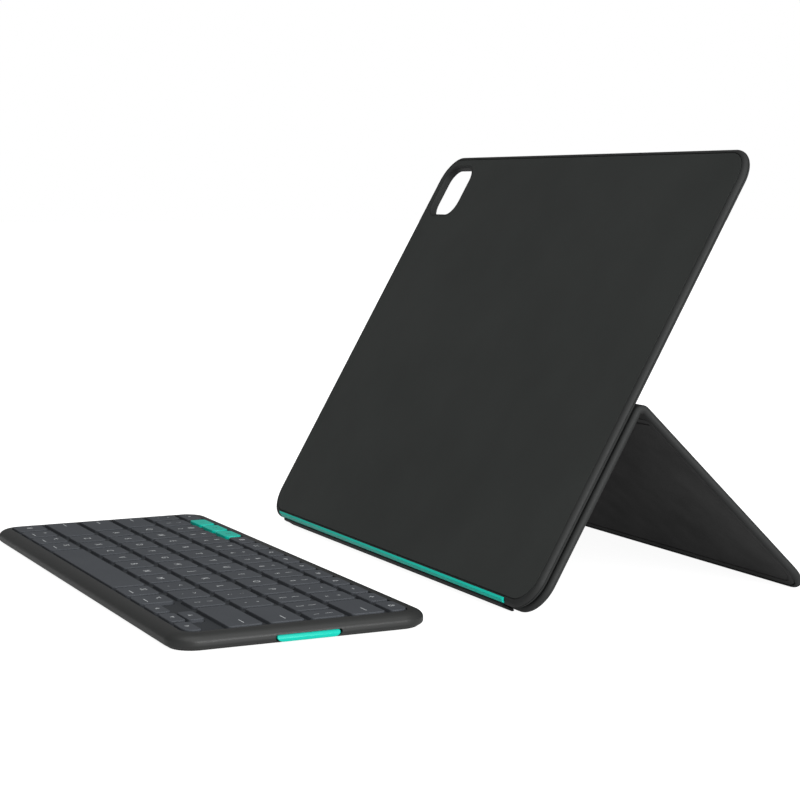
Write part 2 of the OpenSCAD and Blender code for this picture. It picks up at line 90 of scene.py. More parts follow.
SPINE_T = 1.1
SPINE_TOE = 1.5
SPINE_FRONT = 0.5
HINGE_GAP = 0.1
FOLD_GAP = 0.02
LEAF_EDGE = COVER_T / 2
COVER_FRONT = PANEL_T + COVER_GAP
COVER_BACK = COVER_FRONT + COVER_T
COVER_MID = COVER_FRONT + LEAF_EDGE
TOE_DEPTH = COVER_BACK - SPINE_TOE
SPINE_LOW = (SPINE_TOE + TOE_DEPTH * math.cos(LEAN)) / math.sin(LEAN) - SPINE_TOE
SPINE_HIGH = SPINE_LOW + SPINE_T
PANEL_LOW = SPINE_HIGH + HINGE_GAP
PANEL_HIGH = PANEL_LOW + PANEL_H
ACCENT_LOW = PANEL_LOW + 0.1
ACCENT_HIGH = ACCENT_LOW + 2.2
ACCENT_ROOT = 0.8
POCKET_LOW = ACCENT_HIGH + 0.5
BEND = LEAN + FLAP_SLOPE
FOLD_TANGENT = FOLD_R / math.tan((math.pi - BEND) / 2)
FOLD_S = PANEL_LOW + COVER_RISE
FOLD_Y = FOLD_S * math.cos(LEAN) + COVER_MID * math.sin(LEAN)
FOLD_Z = FOLD_S * math.sin(LEAN) - COVER_MID * math.cos(LEAN)
FOOT_RUN = (FOLD_Z - LEAF_EDGE) / math.sin(FLAP_SLOPE)
FLAP_LEN = FOOT_RUN + LEAF_EDGE - FOLD_TANGENT - FOLD_GAP
FOOT_Y = FOLD_Y + FOOT_RUN * math.cos(FLAP_SLOPE)
COVER_LEN = FOLD_S - FOLD_TANGENT - PANEL_LOW
MID_X = (-KB_LEFT - KB_W / 2 + max(PANEL_W / 2, KB_W / 2 - KB_LEFT)) / 2
MID_Y = (-KB_SPACE - KB_D + FOOT_Y + LEAF_EDGE) / 2

ON_DESK = Matrix.Translation((-MID_X, -MID_Y, 0))
ON_SLOPE = ON_DESK @ Matrix.Rotation(LEAN, 4, "X")
ON_COVER = (
    ON_SLOPE
    @ Matrix.Translation((0, PANEL_LOW + COVER_LEN, -COVER_MID))
    @ Matrix.Diagonal((1, -1, 1, 1))
)
ON_FLAP = (
    ON_DESK
    @ Matrix.Translation((0, FOLD_Y, FOLD_Z))
    @ Matrix.Rotation(-FLAP_SLOPE, 4, "X")
    @ Matrix.Translation((0, FOLD_TANGENT + FOLD_GAP, 0))
)
ON_KEYBOARD = ON_DESK @ Matrix.Translation((-KB_LEFT, -KB_SPACE - KB_D / 2, 0))

# ---------- camera ----------

CAMERA_PLACE = (0.853646, -0.386699, 0.176487)
CAMERA_AZIMUTH = 64.908
CAMERA_PITCH = 6.024
CAMERA_ROLL = -0.145
CAMERA_LENS = 91.27


def add_camera():
    a, e = math.radians(CAMERA_AZIMUTH), math.radians(CAMERA_PITCH)
    back = Vector((math.sin(a) * math.cos(e), -math.cos(a) * math.cos(e), math.sin(e)))
    turn = (-back).to_track_quat("-Z", "Y").to_matrix().to_4x4()
    roll = Matrix.Rotation(math.radians(CAMERA_ROLL), 4, "Z")
    camera = bpy.data.objects.new("camera", bpy.data.cameras.new("camera"))
    camera.matrix_world = Matrix.Translation(CAMERA_PLACE) @ turn @ roll
    camera.data.lens = CAMERA_LENS
    camera.data.sensor_width = 36
    camera.data.clip_start = 0.01
    scene.collection.objects.link(camera)
    scene.camera = camera


add_camera()

# ---------- materials ----------


def new_material(name):
    material = bpy.data.materials.new(name)
    material.use_nodes = True
    nodes = material.node_tree.nodes
    shader = nodes["Principled BSDF"]
    place = nodes.new("ShaderNodeTexCoord")
    return material, nodes, material.node_tree.links, shader, place.outputs["Object"]


def noise(nodes, links, place, scale, detail=2.0, stretch=None):
    """A noise pattern; scale counts its features per metre."""
    pattern = nodes.new("ShaderNodeTexNoise")
    pattern.inputs["Scale"].default_value = scale
    pattern.inputs["Detail"].default_value = detail
    if stretch:
        mapping = nodes.new("ShaderNodeMapping")
        mapping.inputs["Scale"].default_value = stretch
        links.new(place, mapping.inputs["Vector"])
        place = mapping.outputs["Vector"]
    links.new(place, pattern.inputs["Vector"])
    return pattern.outputs["Fac"]


def spread(nodes, links, value, low, high):
    """Maps the middle of a noise pattern onto a range."""
    ramp = nodes.new("ShaderNodeMapRange")
    ramp.inputs["From Min"].default_value = 0.3
    ramp.inputs["From Max"].default_value = 0.7
    ramp.inputs["To Min"].default_value = low
    ramp.inputs["To Max"].default_value = high
    links.new(value, ramp.inputs["Value"])
    return ramp.outputs["Result"]


def tint(nodes, links, value, colour, change):
    """The colour, a little darker and lighter as the pattern goes."""
    mix = nodes.new("ShaderNodeMix")
    mix.data_type = "RGBA"
    mix.inputs[6].default_value = [c * (1 - change) for c in colour] + [1]
    mix.inputs[7].default_value = [c * (1 + change) for c in colour] + [1]
    links.new(value, mix.inputs[0])
    return mix.outputs[2]


def bump(nodes, links, height, distance, strength=1.0, after=None):
    made = nodes.new("ShaderNodeBump")
    made.inputs["Distance"].default_value = distance
    made.inputs["Strength"].default_value = strength
    links.new(height, made.inputs["Height"])
    if after:
        links.new(after, made.inputs["Normal"])
    return made.outputs["Normal"]


def moulded(name, colour, rough, grain=2600, depth=0.000012, specular=0.5, change=0.05):
    """Moulded or coated plastic: a fine grain, and roughness that drifts a little."""
    material, nodes, links, shader, place = new_material(name)
    fine = noise(nodes, links, place, grain, 3)
    broad = noise(nodes, links, place, 38, 4)
    links.new(
        tint(nodes, links, spread(nodes, links, broad, 0, 1), colour, change),
        shader.inputs["Base Color"],
    )
    links.new(
        spread(nodes, links, fine, rough - 0.05, rough + 0.05), shader.inputs["Roughness"]
    )
    links.new(bump(nodes, links, fine, depth), shader.inputs["Normal"])
    shader.inputs["Specular IOR Level"].default_value = specular
    return material


def soft_touch(name, colour, rough, specular):
    """Rubbery coating: dense fine pores over a faint mottle."""
    material, nodes, links, shader, place = new_material(name)
    pores = nodes.new("ShaderNodeTexVoronoi")
    pores.inputs["Scale"].default_value = 1900
    links.new(place, pores.inputs["Vector"])
    grain = noise(nodes, links, place, 4200, 2)
    mottle = noise(nodes, links, place, 26, 5)
    links.new(
        tint(nodes, links, spread(nodes, links, mottle, 0, 1), colour, 0.06),
        shader.inputs["Base Color"],
    )
    links.new(
        spread(nodes, links, grain, rough - 0.05, rough + 0.05), shader.inputs["Roughness"]
    )
    first = bump(nodes, links, pores.outputs["Distance"], 0.00002)
    links.new(bump(nodes, links, grain, 0.000012, after=first), shader.inputs["Normal"])
    shader.inputs["Specular IOR Level"].default_value = specular
    return material


def microfibre(name, colour):
    """Short-pile lining: crossed fibres, and soft patches where the pile lies over."""
    material, nodes, links, shader, place = new_material(name)
    across = noise(nodes, links, place, 900, 3, stretch=(1, 6, 6))
    along = noise(nodes, links, place, 900, 3, stretch=(6, 1, 1))
    pile = noise(nodes, links, place, 55, 4)
    links.new(
        tint(nodes, links, spread(nodes, links, pile, 0, 1), colour, 0.12),
        shader.inputs["Base Color"],
    )
    first = bump(nodes, links, across, 0.00004)
    links.new(bump(nodes, links, along, 0.00004, after=first), shader.inputs["Normal"])
    shader.inputs["Roughness"].default_value = 0.9
    shader.inputs["Specular IOR Level"].default_value = 0.05
    return material


def metal(name, colour, rough):
    """Plated metal with fine brushed streaks."""
    material, nodes, links, shader, place = new_material(name)
    streaks = noise(nodes, links, place, 700, 3, stretch=(1, 12, 12))
    links.new(
        tint(nodes, links, spread(nodes, links, streaks, 0, 1), colour, 0.06),
        shader.inputs["Base Color"],
    )
    links.new(
        spread(nodes, links, streaks, rough - 0.07, rough + 0.07), shader.inputs["Roughness"]
    )
    links.new(bump(nodes, links, streaks, 0.000008), shader.inputs["Normal"])
    shader.inputs["Metallic"].default_value = 1
    return material


MATERIALS = {
    "graphite_edge": soft_touch("graphite_edge", (0.022, 0.023, 0.0227), 0.6, 0.2),
    "graphite_face": soft_touch("graphite_face", (0.035, 0.0378, 0.0362), 0.7, 0.15),
    "stiffener_board": moulded("stiffener_board", (0.05, 0.05, 0.05), 0.7),
    "dark_lining": microfibre("dark_lining", (0.066, 0.066, 0.066)),
    "spine_elastomer": soft_touch("spine_elastomer", (0.016, 0.016, 0.0165), 0.6, 0.2),
    "teal_plastic": moulded("teal_plastic", (0.002, 0.46, 0.36), 0.36, 3200, 0.000006, 0.22, 0.03),
    "magnet_steel": metal("magnet_steel", (0.60, 0.61, 0.63), 0.32),
    "keyboard_casing": moulded(
        "keyboard_casing", (0.022, 0.0228, 0.0224), 0.45, 3600, 0.000010, 0.3, 0.04
    ),
    "key_plastic": moulded("key_plastic", (0.060, 0.065, 0.073), 0.62, 3000, 0.000014, 0.15, 0.05),
    "clear_film": moulded("clear_film", (0.60, 0.60, 0.55), 0.4),
    "dome_silicone": moulded("dome_silicone", (0.70, 0.70, 0.68), 0.5),
    "scissor_plastic": moulded("scissor_plastic", (0.75, 0.75, 0.74), 0.45),
    "circuit_board": moulded("circuit_board", (0.02, 0.15, 0.07), 0.4),
    "contact_brass": metal("contact_brass", (0.70, 0.50, 0.20), 0.3),
    "foot_rubber": soft_touch("foot_rubber", (0.008, 0.008, 0.008), 0.75, 0.1),
}
# painted shade: the key plastic made darker and less glossy for the keys' side walls and undersides,
# which are really the same plastic as the tops
KEY_SIDE_SHADE = moulded("key_side_shade", (0.050, 0.054, 0.061), 0.7, 3000, 0.000014, 0.1)
WELL = moulded("key_well", (0.036, 0.039, 0.043), 0.7, 3600, 0.000010, 0.1)
PRINT = moulded("key_print", (0.50, 0.52, 0.53), 0.5, change=0.02)
PRINT_DARK = moulded("key_print_dark", (0.01, 0.08, 0.065), 0.5, change=0.02)

# ---------- mesh forms ----------


def rounded(x0, x1, y0, y1, radii, steps):
    """A rounded rectangle's points, anticlockwise, from the corner at +X +Y."""
    corners = [(x1, y1, -1, -1), (x0, y1, 1, -1), (x0, y0, 1, 1), (x1, y0, -1, 1)]
    points = []
    for k, (x, y, dx, dy) in enumerate(corners):
        r, n = radii[k], steps[k]
        for i in range(n + 1):
            a = math.radians(90 * (k + i / n))
            points.append((x + dx * r + r * math.cos(a), y + dy * r + r * math.sin(a)))
    return points


def round_box(w, h, r, n=6, x=0.0, y=0.0):
    return rounded(x - w / 2, x + w / 2, y - h / 2, y + h / 2, [r] * 4, [n] * 4)


def quarter(n, first=0):
    """Sine and cosine pairs over a quarter turn."""
    return [
        (math.sin(math.pi / 2 * i / n), math.cos(math.pi / 2 * i / n))
        for i in range(first, n + 1)
    ]


class Form:
    """A mesh under construction, in millimetres."""

    def __init__(self):
        self.points = []
        self.faces = []
        self.skins = []

    def ring(self, points):
        start = len(self.points)
        self.points += points
        return list(range(start, len(self.points)))

    def level(self, outline, z):
        return self.ring([(x, y, z) for x, y in outline])

    def face(self, corners, skin=0):
        self.faces.append(corners)
        self.skins.append(skin)

    def band(self, a, b, skin=0):
        n = len(a)
        for i in range(n):
            j = (i + 1) % n
            self.face([a[i], a[j], b[j], b[i]], skin)

    def stack(self, rings, skin=0):
        """Joins rings in order and returns the first and the last."""
        for a, b in zip(rings, rings[1:]):
            self.band(a, b, skin)
        return rings[0], rings[-1]

    def cap(self, outer, holes=(), skin=0):
        loops = [outer, *holes]
        flat = [i for loop in loops for i in loop]
        vectors = [[Vector(self.points[i]) for i in loop] for loop in loops]
        for triangle in tessellate_polygon(vectors):
            self.face([flat[i] for i in triangle], skin)

    def close(self, rings):
        """Joins rings in order and caps both ends."""
        self.stack(rings)
        self.cap(rings[0])
        self.cap(rings[-1])

    def add(self, points, faces, skin=0):
        start = len(self.points)
        self.points += points
        for corners in faces:
            self.face([start + i for i in corners], skin)

    def make(self, name, matrix, materials, sharp=35):
        mesh = bpy.data.meshes.new(name)
        places = [(matrix @ Vector(p)) * MM for p in self.points]
        mesh.from_pydata(places, [], self.faces)
        for material in materials:
            mesh.materials.append(material)
        mesh.polygons.foreach_set("material_index", self.skins)
        work = bmesh.new()
        work.from_mesh(mesh)
        bmesh.ops.recalc_face_normals(work, faces=work.faces)
        work.to_mesh(mesh)
        work.free()
        mesh.shade_smooth()
        mesh.set_sharp_from_angle(angle=math.radians(sharp))
        made = bpy.data.objects.new(name, mesh)
        scene.collection.objects.link(made)
        return made


def piece(form, name, matrix, slot, body, nodes=(), materials=None):
    """Makes the form an object of the record's slot, riding a body in place of CAD nodes."""
    made = form.make(name, matrix, materials or [MATERIALS[slot]])
    if body:
        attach(made, body)
    if nodes:
        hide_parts(*nodes)
    return made


def cut(target, cutter_form, matrix):
    """Takes the cutter's volume out of the target."""
    cutter = cutter_form.make("cutter", matrix, [])
    modifier = target.modifiers.new("cut", "BOOLEAN")
    modifier.operation = "DIFFERENCE"
    modifier.solver = "EXACT"
    modifier.object = cutter
    bpy.context.view_layer.update()
    graph = bpy.context.evaluated_depsgraph_get()
    mesh = bpy.data.meshes.new_from_object(target.evaluated_get(graph))
    target.modifiers.clear()
    target.data = mesh
    mesh.set_sharp_from_angle(angle=math.radians(35))
    bpy.data.objects.remove(cutter)


# ---------- tablet panel ----------

WINDOW_X = -PANEL_W / 2 + WINDOW_SIDE + WINDOW_W / 2
WINDOW_S = PANEL_HIGH - WINDOW_TOP - WINDOW_H / 2
WINDOW_RING = 1.2
CORNER_STEPS = 24
FACE_T = 0.9
SKIN_T = 0.8
SEAM_W = 0.38
SEAM_ROUND = 0.22


def panel_outline(inset):
    r = CORNER_R - inset
    low, high = PANEL_LOW + inset, PANEL_HIGH - inset
    side = PANEL_W / 2 - inset
    return rounded(-side, side, low, high, [r] * 4, [CORNER_STEPS] * 4)


def pocket_outline(shrink):
    r = CORNER_R - SEAM_INSET - shrink
    low, high = POCKET_LOW + shrink, PANEL_HIGH - SEAM_INSET - shrink
    side = PANEL_W / 2 - SEAM_INSET - shrink
    return rounded(-side, side, low, high, [r] * 4, [CORNER_STEPS] * 4)


def window_outline(grow):
    w, h = WINDOW_W + 2 * grow, WINDOW_H + 2 * grow
    return round_box(w, h, WINDOW_R + grow, 10, WINDOW_X, WINDOW_S)


def panel_shell():
    form = Form()
    rim = PANEL_T / 2
    edge = SEAM_ROUND
    floor_z = -PANEL_T + SKIN_T
    outer = [form.level(pocket_outline(0.1), floor_z), form.level(pocket_outline(0.1), -edge)]
    outer += [
        form.level(pocket_outline(0.1 - edge * (1 - c)), -edge + edge * s)
        for s, c in quarter(3, 1)
    ]
    outer += [
        form.level(panel_outline(rim - rim * s), -rim + rim * c) for s, c in quarter(10)
    ]
    parting_deep, parting_wide, slope = 0.25, 0.3, 0.02
    outer += [
        form.level(panel_outline(parting_deep), -rim - slope),
        form.level(panel_outline(parting_deep), -rim - parting_wide),
        form.level(panel_outline(slope), -rim - parting_wide - slope),
    ]
    outer += [
        form.level(panel_outline(rim - rim * c), -rim - rim * s) for s, c in quarter(10, 1)
    ]
    outer.append(form.level(panel_outline(rim + 0.5), -PANEL_T))
    lip = 0.45
    fine = 0.08
    inner = [form.level(window_outline(WINDOW_RING), floor_z)]
    inner.append(form.level(window_outline(WINDOW_RING), -fine))
    inner += [
        form.level(window_outline(WINDOW_RING - fine * (1 - c)), -fine + fine * s)
        for s, c in quarter(3, 1)
    ]
    inner += [
        form.level(window_outline(lip - lip * s), -lip + lip * c) for s, c in quarter(6)
    ]
    inner += [
        form.level(window_outline(lip - lip * c), -PANEL_T + lip - lip * s)
        for s, c in quarter(6)
    ]
    inner.append(form.level(window_outline(lip + 0.4), -PANEL_T))
    form.stack(outer)
    form.stack(inner)
    form.cap(outer[0], [inner[0]])
    form.cap(outer[-1], [inner[-1]])
    return form


def panel_face():
    form = Form()
    edge = SEAM_ROUND
    outer = [form.level(pocket_outline(SEAM_W), -FACE_T), form.level(pocket_outline(SEAM_W), -edge)]
    outer += [
        form.level(pocket_outline(SEAM_W + edge * (1 - c)), -edge + edge * s)
        for s, c in quarter(4, 1)
    ]
    outer.append(form.level(pocket_outline(SEAM_W + edge + 0.3), 0))
    gap, fine = WINDOW_RING + 0.08, 0.08
    inner = [form.level(window_outline(gap), -FACE_T), form.level(window_outline(gap), -fine)]
    inner += [
        form.level(window_outline(gap + fine * (1 - c)), -fine + fine * s)
        for s, c in quarter(4, 1)
    ]
    inner.append(form.level(window_outline(gap + fine + 0.3), 0))
    form.stack(outer)
    form.stack(inner)
    form.cap(outer[0], [inner[0]])
    form.cap(outer[-1], [inner[-1]])
    return form


def soften(corners, r, n=3):
    """A closed profile with each corner rounded off by r."""
    points = []
    count = len(corners)
    for i in range(count):
        here = Vector(corners[i])
        before = (Vector(corners[i - 1]) - here).normalized()
        after = (Vector(corners[(i + 1) % count]) - here).normalized()
        start, end = here + before * r, here + after * r
        for k in range(n + 1):
            t = k / n
            points.append(tuple((1 - t) ** 2 * start + 2 * t * (1 - t) * here + t * t * end))
    return points


def swept(profile, ends, shrink=0.25, n=3):
    """A profile (slope height, forward) run across the case, its ends rounded. ends(height)
    gives the left and right end of the run at that height."""
    form = Form()
    count = len(profile)
    middle = (sum(p[0] for p in profile) / count, sum(p[1] for p in profile) / count)
    rings = []
    for side in (0, 1):
        sign = 1 if side == 0 else -1
        steps = quarter(n) if side == 0 else list(reversed(quarter(n)))
        for s, c in steps:
            ring = []
            for height, forward in profile:
                away = Vector((height - middle[0], forward - middle[1]))
                pull = min(1, shrink * (1 - s) / max(away.length, 0.001))
                x = ends(height)[side] + sign * shrink * (1 - c)
                ring.append((x, height - away.x * pull, forward - away.y * pull))
            rings.append(form.ring(ring))
    form.close(rings)
    return form


ACCENT_PROUD = 1.0
ACCENT_BEVEL = 1.1
ACCENT_LIP = 0.35
ACCENT_FOOT = 0.3
# both ends slant: each is given as (at the bottom, at the top)
ACCENT_LEFT = (-122.5, -128.7)
ACCENT_RIGHT = (123.0, 122.0)


def accent_ends(height):
    """The strip's left and right end at a height."""
    share = (height - ACCENT_LOW) / (ACCENT_HIGH - ACCENT_LOW)
    return tuple(low + (high - low) * share for low, high in (ACCENT_LEFT, ACCENT_RIGHT))


def accent_strip():
    corners = [
        (ACCENT_LOW, -ACCENT_ROOT), (ACCENT_LOW, ACCENT_FOOT),
        (ACCENT_HIGH - ACCENT_BEVEL, ACCENT_PROUD), (ACCENT_HIGH, ACCENT_LIP),
        (ACCENT_HIGH, -ACCENT_ROOT),
    ]
    return swept(soften(corners, 0.1), accent_ends)


def spine_strip():
    toe_s = SPINE_LOW + SPINE_TOE
    toe_end = math.asin((toe_s - SPINE_HIGH) / SPINE_TOE)
    steps = 10
    toe = []
    for i in range(steps + 1):
        a = math.pi / 2 - (math.pi / 2 - toe_end) * i / steps
        toe.append((toe_s - SPINE_TOE * math.sin(a), -TOE_DEPTH - SPINE_TOE * math.cos(a)))
    front = soften(
        [
            (SPINE_HIGH, -SPINE_FRONT - 2), (SPINE_HIGH, -SPINE_FRONT),
            (SPINE_LOW + 0.5, -SPINE_FRONT), (SPINE_LOW, -SPINE_FRONT - 0.8),
            (SPINE_LOW, -SPINE_FRONT - 2.5),
        ],
        0.15,
    )
    profile = front + toe
    return swept(profile, lambda height: (-SPINE_W / 2, SPINE_W / 2))


def hinge_skin(points, thickness, name):
    """A thin flexible strip that covers a hinge line, from the spine to its neighbour."""
    form = Form()
    rings = []
    half = SPINE_W / 2 - 1
    count = len(points)
    for k, (s, d) in enumerate(points):
        before, after = points[max(0, k - 1)], points[min(count - 1, k + 1)]
        way = Vector((after[0] - before[0], after[1] - before[1])).normalized()
        side = Vector((-way.y, way.x)) * thickness / 2
        low, high = (s - side.x, d - side.y), (s + side.x, d + side.y)
        rings.append(
            form.ring([
                (-half, low[0], -low[1]), (half, low[0], -low[1]),
                (half, high[0], -high[1]), (-half, high[0], -high[1]),
            ])
        )
    form.close(rings)
    made = piece(form, name, ON_SLOPE, "spine_elastomer", None)
    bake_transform(made)
    return made


def hinge_skins():
    pivot_s = SPINE_HIGH + HINGE_GAP / 2
    depth = SPINE_FRONT + 0.16
    hinge_skin(
        [(pivot_s - 0.6, depth), (pivot_s - 0.2, depth), (pivot_s, depth), (pivot_s + 0.25, depth)],
        0.14, "front_hinge_skin",
    )
    depth = COVER_BACK - 0.24
    run = [pivot_s + 0.35 * i for i in range(-2, 8)]
    hinge_skin(
        [(s, depth) for s in run], 0.16, "back_hinge_skin"
    )


# ---------- cover, fold and stand flap ----------

LEAD = 3.0
LINER_INSET = 2.7
LINER_NEAR_R = 3.0
LEAF_STEPS = [CORNER_STEPS, CORNER_STEPS, 4, 4]
RIM_STEPS = 8


def leaf_outline(reach, inset):
    """The leaf's edge, square at its fold end and rounded at the far end."""
    far_r, near_r = CORNER_R - inset, 0.04
    side = PANEL_W / 2 - inset
    near = LEAD + 0.01 * inset
    return rounded(-side, side, near, reach - inset, [far_r, far_r, near_r, near_r], LEAF_STEPS)


def liner_outline(reach, inset):
    """The lining's edge, rounded at all four corners."""
    far_r, near_r = CORNER_R - inset, LINER_NEAR_R - (inset - LINER_INSET)
    side = PANEL_W / 2 - inset
    near = LEAD + inset - LINER_INSET + 1.2
    return rounded(-side, side, near, reach - inset, [far_r, far_r, near_r, near_r], LEAF_STEPS)


def leaf_skin(reach):
    form = Form()
    rim = LEAF_EDGE
    wall = LINER_INSET - 0.5
    edge = 0.18
    rings = [form.level(liner_outline(reach, wall), rim - SKIN_T)]
    rings.append(form.level(liner_outline(reach, wall), -rim + edge))
    rings += [
        form.level(liner_outline(reach, wall - edge * (1 - c)), -rim + edge - edge * s)
        for s, c in quarter(3, 1)
    ]
    rings.append(form.level(liner_outline(reach, wall - edge - 0.3), -rim))
    rings += [
        form.level(leaf_outline(reach, rim - rim * s), -rim * c) for s, c in quarter(RIM_STEPS)
    ]
    rings += [
        form.level(leaf_outline(reach, rim - rim * c), rim * s)
        for s, c in quarter(RIM_STEPS, 1)
    ]
    rings.append(form.level(leaf_outline(reach, rim + 0.5), rim))
    form.close(rings)
    return form


def leaf_lining(reach):
    """The lining sheet: a flat border, a groove along it, then the field a little lower."""
    form = Form()
    back = -LEAF_EDGE + 0.6
    crest = -LEAF_EDGE + 0.04
    field = crest + 0.24
    edge, border, groove = 0.3, 2.8, 0.7
    groove_floor = back - 0.08
    rings = [form.level(liner_outline(reach, LINER_INSET), back)]
    rings += [
        form.level(liner_outline(reach, LINER_INSET + edge * (1 - c)), field + (crest - field) * s)
        for s, c in quarter(4)
    ]
    seam = LINER_INSET + border
    rings += [
        form.level(liner_outline(reach, seam + run), height)
        for run, height in (
            (-0.1, crest), (0, crest + 0.06), (0.08, groove_floor), (groove, groove_floor),
            (groove + 0.1, field + 0.02), (groove + 0.2, field), (groove + 0.7, field),
        )
    ]
    form.close(rings)
    return form


def stadium():
    """The leaf's cross-section: (across, outwards)."""
    half = PANEL_W / 2
    rim = LEAF_EDGE
    points = []
    for side in (1, -1):
        for s, c in quarter(RIM_STEPS):
            points.append((side * (half - rim + rim * s), side * -rim * c))
        for s, c in quarter(RIM_STEPS, 1):
            points.append((side * (half - rim + rim * c), side * rim * s))
    return points


def fold():
    form = Form()
    section = stadium()
    centre_s, centre_d = PANEL_LOW + COVER_LEN, COVER_MID + FOLD_R
    bend_steps = 24
    stations = [(0, -LEAD), (0, -LEAD * 2 / 3), (0, -LEAD / 3)]
    stations += [(BEND * i / bend_steps, 0) for i in range(bend_steps + 1)]
    stations += [(BEND, LEAD / 3), (BEND, LEAD * 2 / 3), (BEND, LEAD)]
    rings = []
    for a, run in stations:
        run += FOLD_GAP if run > 0 else 0
        ring = []
        for across, out in section:
            r = FOLD_R + out
            s = centre_s + r * math.sin(a) + run * math.cos(a)
            d = centre_d - r * math.cos(a) + run * math.sin(a)
            ring.append((across, s, -d))
        rings.append(form.ring(ring))
    form.close(rings)
    made = piece(form, "fold", ON_SLOPE, "graphite_edge", None, ["fold_strip"])
    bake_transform(made)
    return made


# ---------- keyboard ----------

FEET_T = 0.4
FLOOR_Z = 1.2
WEB_LOW = 5.3
WEB_TOP = 6.2
KEY_LOW = 5.9
KEY_ROOF = 0.8
KB_WALL = 2.0
KEY_U = 15.75
KEY_GAP = 2.75
KEY_H = 14.8
ROW_GAP = 2.65
FUNCTION_H = 8.4
FUNCTION_GAP = 2.05
ARROW_H = (KEY_H - 0.8) / 2
COMMAND_W = 17.5
FIELD_W = 264.6
FIELD_D = FUNCTION_H + FUNCTION_GAP + 5 * KEY_H + 4 * ROW_GAP
KEY_R = 2.0
KEY_OUTER_R = 5.0
KEY_SLACK = 0.25
WELL_MARGIN = 0.6
SMALL_W = 13.25
DELETE_W = FIELD_W - SMALL_W - 12 * KEY_U - 13 * KEY_GAP
CAPS_W = (FIELD_W - 11 * KEY_U - 12 * KEY_GAP) / 2
SHIFT_W = (FIELD_W - 10 * KEY_U - 11 * KEY_GAP) / 2
SPACE_W = FIELD_W - 7 * KEY_U - 2 * COMMAND_W - 9 * KEY_GAP
ESCAPE_W = 17.4
FUNCTION_W = (FIELD_W - 2 * ESCAPE_W - 13 * KEY_GAP) / 12

# each key is (node, width, marks): what is printed on it is a character, or an icon by name
ROW_FUNCTION = (
    [("key_escape", ESCAPE_W, ["dot"])]
    + [(f"key_pair_{i}", FUNCTION_W, [str(i)]) for i in (1, 2, 3)]
    + [
        ("function_keys", FUNCTION_W, [mark])
        for mark in ["ring", "grid", "search", "back", "play", "next", "mute", "less", "more"]
    ]
    + [("key_lock", ESCAPE_W, ["lock"])]
)
ROW_NUMBER = (
    [("number_keys", SMALL_W, ["`", "~"])]
    + [("number_keys", KEY_U, [low, high]) for low, high in zip("1234567890-=", "!@#$%^&*()_+")]
    + [("key_delete", DELETE_W, ["dash"])]
)
ROW_UPPER = (
    [("key_tab", DELETE_W, ["dash"])]
    + [("upper_letter_keys", KEY_U, [mark]) for mark in "QWERTYUIOP"]
    + [("upper_letter_keys", KEY_U, [low, high]) for low, high in zip("[]", "{}")]
    + [("upper_letter_keys", SMALL_W, ["\\", "|"])]
)
ROW_HOME = (
    [("key_caps", CAPS_W, ["dash"])]
    + [("home_letter_keys", KEY_U, [mark]) for mark in "ASDFGHJKL"]
    + [("home_letter_keys", KEY_U, [low, high]) for low, high in zip(";'", ':"')]
    + [("key_return", CAPS_W, ["dash"])]
)
ROW_LOWER = (
    [("key_shift_left", SHIFT_W, ["dash"])]
    + [("lower_letter_keys", KEY_U, [mark]) for mark in "ZXCVBNM"]
    + [("lower_letter_keys", KEY_U, [low, high]) for low, high in zip(",./", "<>?")]
    + [("key_shift_right", SHIFT_W, ["dash"])]
)
ROW_BOTTOM = [
    ("key_fn", KEY_U, ["ring"]),
    ("key_control", KEY_U, ["dash", "caret"]),
    ("key_option_left", KEY_U, ["dash", "step"]),
    ("key_command_left", COMMAND_W, ["dash", "loop"]),
    ("key_space", SPACE_W, []),
    ("key_command_right", COMMAND_W, ["dash", "loop"]),
    ("key_option_right", KEY_U, ["dash", "step"]),
    ("key_arrow_left", KEY_U, ["left_head"]),
    ("key_arrow_down", KEY_U, ["down_head"]),
    ("key_arrow_right", KEY_U, ["right_head"]),
]


class Key:
    def __init__(self, node, x, y, w, d, radii, marks):
        self.node, self.x, self.y, self.w, self.d = node, x, y, w, d
        self.radii, self.marks = radii, marks

    def outline(self, grow, n=5):
        radii = [r + grow for r in self.radii]
        x, y, w, d = self.x, self.y, self.w / 2 + grow, self.d / 2 + grow
        return rounded(x - w, x + w, y - d, y + d, radii, [n] * 4)


def corner_radii(first, last, top, bottom):
    outer = [last and top, first and top, first and bottom, last and bottom]
    return [KEY_OUTER_R if o else KEY_R for o in outer]


def row_of_keys(row, front, depth, top, bottom):
    keys = []
    x = -FIELD_W / 2
    for i, (node, width, marks) in enumerate(row):
        half_height = node in ("key_arrow_left", "key_arrow_down", "key_arrow_right")
        deep = ARROW_H if half_height else depth
        radii = corner_radii(i == 0, i == len(row) - 1, top, bottom)
        keys.append(Key(node, x + width / 2, front + deep / 2, width, deep, radii, marks))
        x += width + KEY_GAP
    return keys


def key_field():
    pitch = KEY_H + ROW_GAP
    front = -FIELD_D / 2
    keys = row_of_keys(
        ROW_FUNCTION, front + 5 * pitch - ROW_GAP + FUNCTION_GAP, FUNCTION_H, True, False
    )
    rows = [ROW_BOTTOM, ROW_LOWER, ROW_HOME, ROW_UPPER, ROW_NUMBER]
    for i, row in enumerate(rows):
        keys += row_of_keys(row, front + i * pitch, KEY_H, False, i == 0)
    down = next(key for key in keys if key.node == "key_arrow_down")
    up_y = front + KEY_H - ARROW_H / 2
    up_radii = corner_radii(False, False, False, False)
    keys.append(Key("key_arrow_up", down.x, up_y, KEY_U, ARROW_H, up_radii, ["up_head"]))
    return keys


KEYS = key_field()
MARK_T = 0.012
STROKE = 0.42


